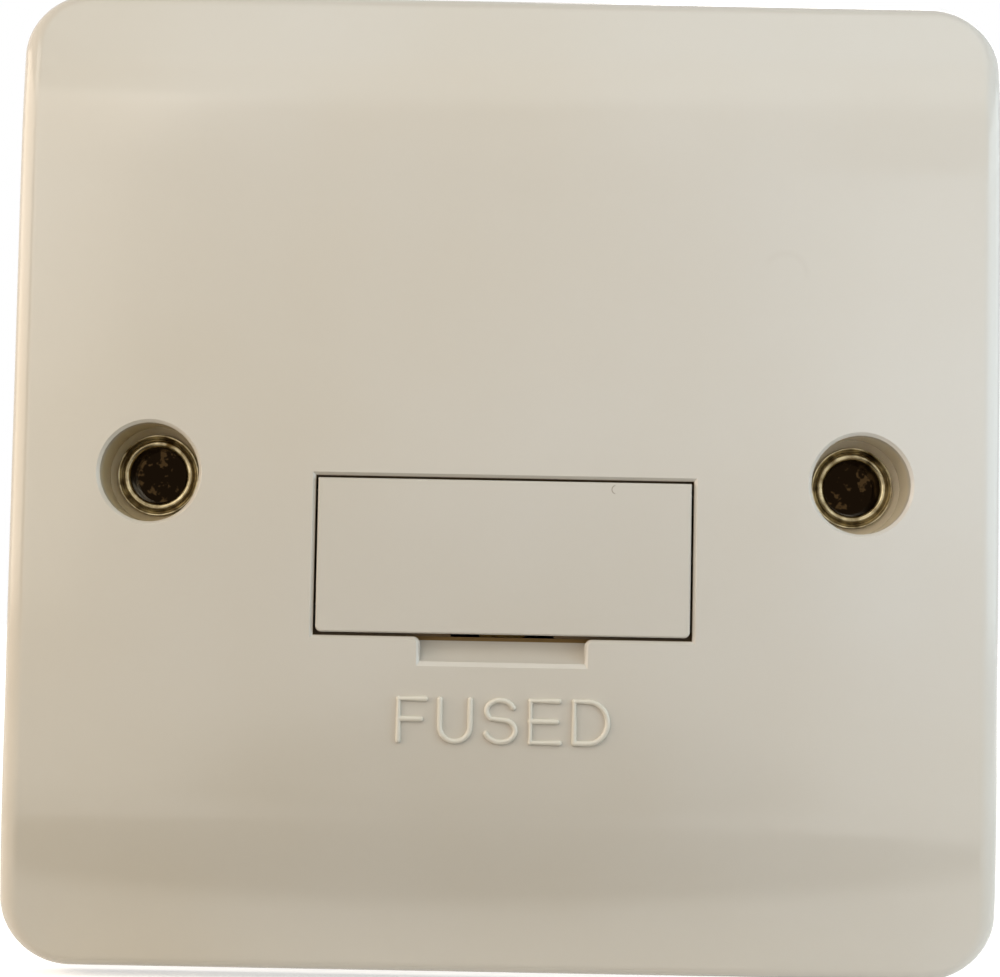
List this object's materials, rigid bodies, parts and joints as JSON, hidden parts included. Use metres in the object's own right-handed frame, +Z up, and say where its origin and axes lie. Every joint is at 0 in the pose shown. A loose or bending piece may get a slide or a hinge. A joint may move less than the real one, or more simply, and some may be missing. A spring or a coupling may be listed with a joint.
{
  "type": "fused spur unit",
  "caption": "Square white moulded wall plate with rolled top and bottom edges, sunk eyeleted screw recesses and a pull-out fuse carrier, with a wired housing behind.",
  "frame": {"origin": "the middle between the two fixing holes, in the plane of the plate's rear rim that lies on the wall", "axes": "+X to the right and +Z up as seen from the room, +Y into the wall"},
  "size_m": [0.086, 0.0225, 0.0852],
  "materials": {
    "plate": "moulded gloss",
    "carrier": "moulded gloss",
    "barrel": "glazed tube",
    "caps": "nickel plated",
    "housing": "moulded matt",
    "strips": "stamped",
    "strap": "stamped",
    "terminals": "machined",
    "eyelets": "nickel plated",
    "terminal_screws": "zinc plated",
    "housing_screws": "zinc plated"
  },
  "bodies": {
    "unit": {"front_plate": "plate", "rear_housing": "housing", "line_in_contact": "strips", "line_out_contact": "strips", "neutral_link": "strips", "earth_strap": "strap", "line_in_terminal": "terminals", "line_out_terminal": "terminals", "neutral_in_terminal": "terminals", "neutral_out_terminal": "terminals", "earth_terminal": "terminals", "left_eyelet": "eyelets", "right_eyelet": "eyelets", "terminal_screws": "terminal_screws", "housing_screws": "housing_screws"},
    "carrier": {"fuse_carrier": "carrier", "fuse_barrel": "barrel", "fuse_cap_left": "caps", "fuse_cap_right": "caps"}
  },
  "joints": [
    {"name": "carrier_slide", "type": "slide", "parent": "unit", "child": "carrier", "axis": [0, -1, 0], "range_m": [0, 0.012]}
  ]
}
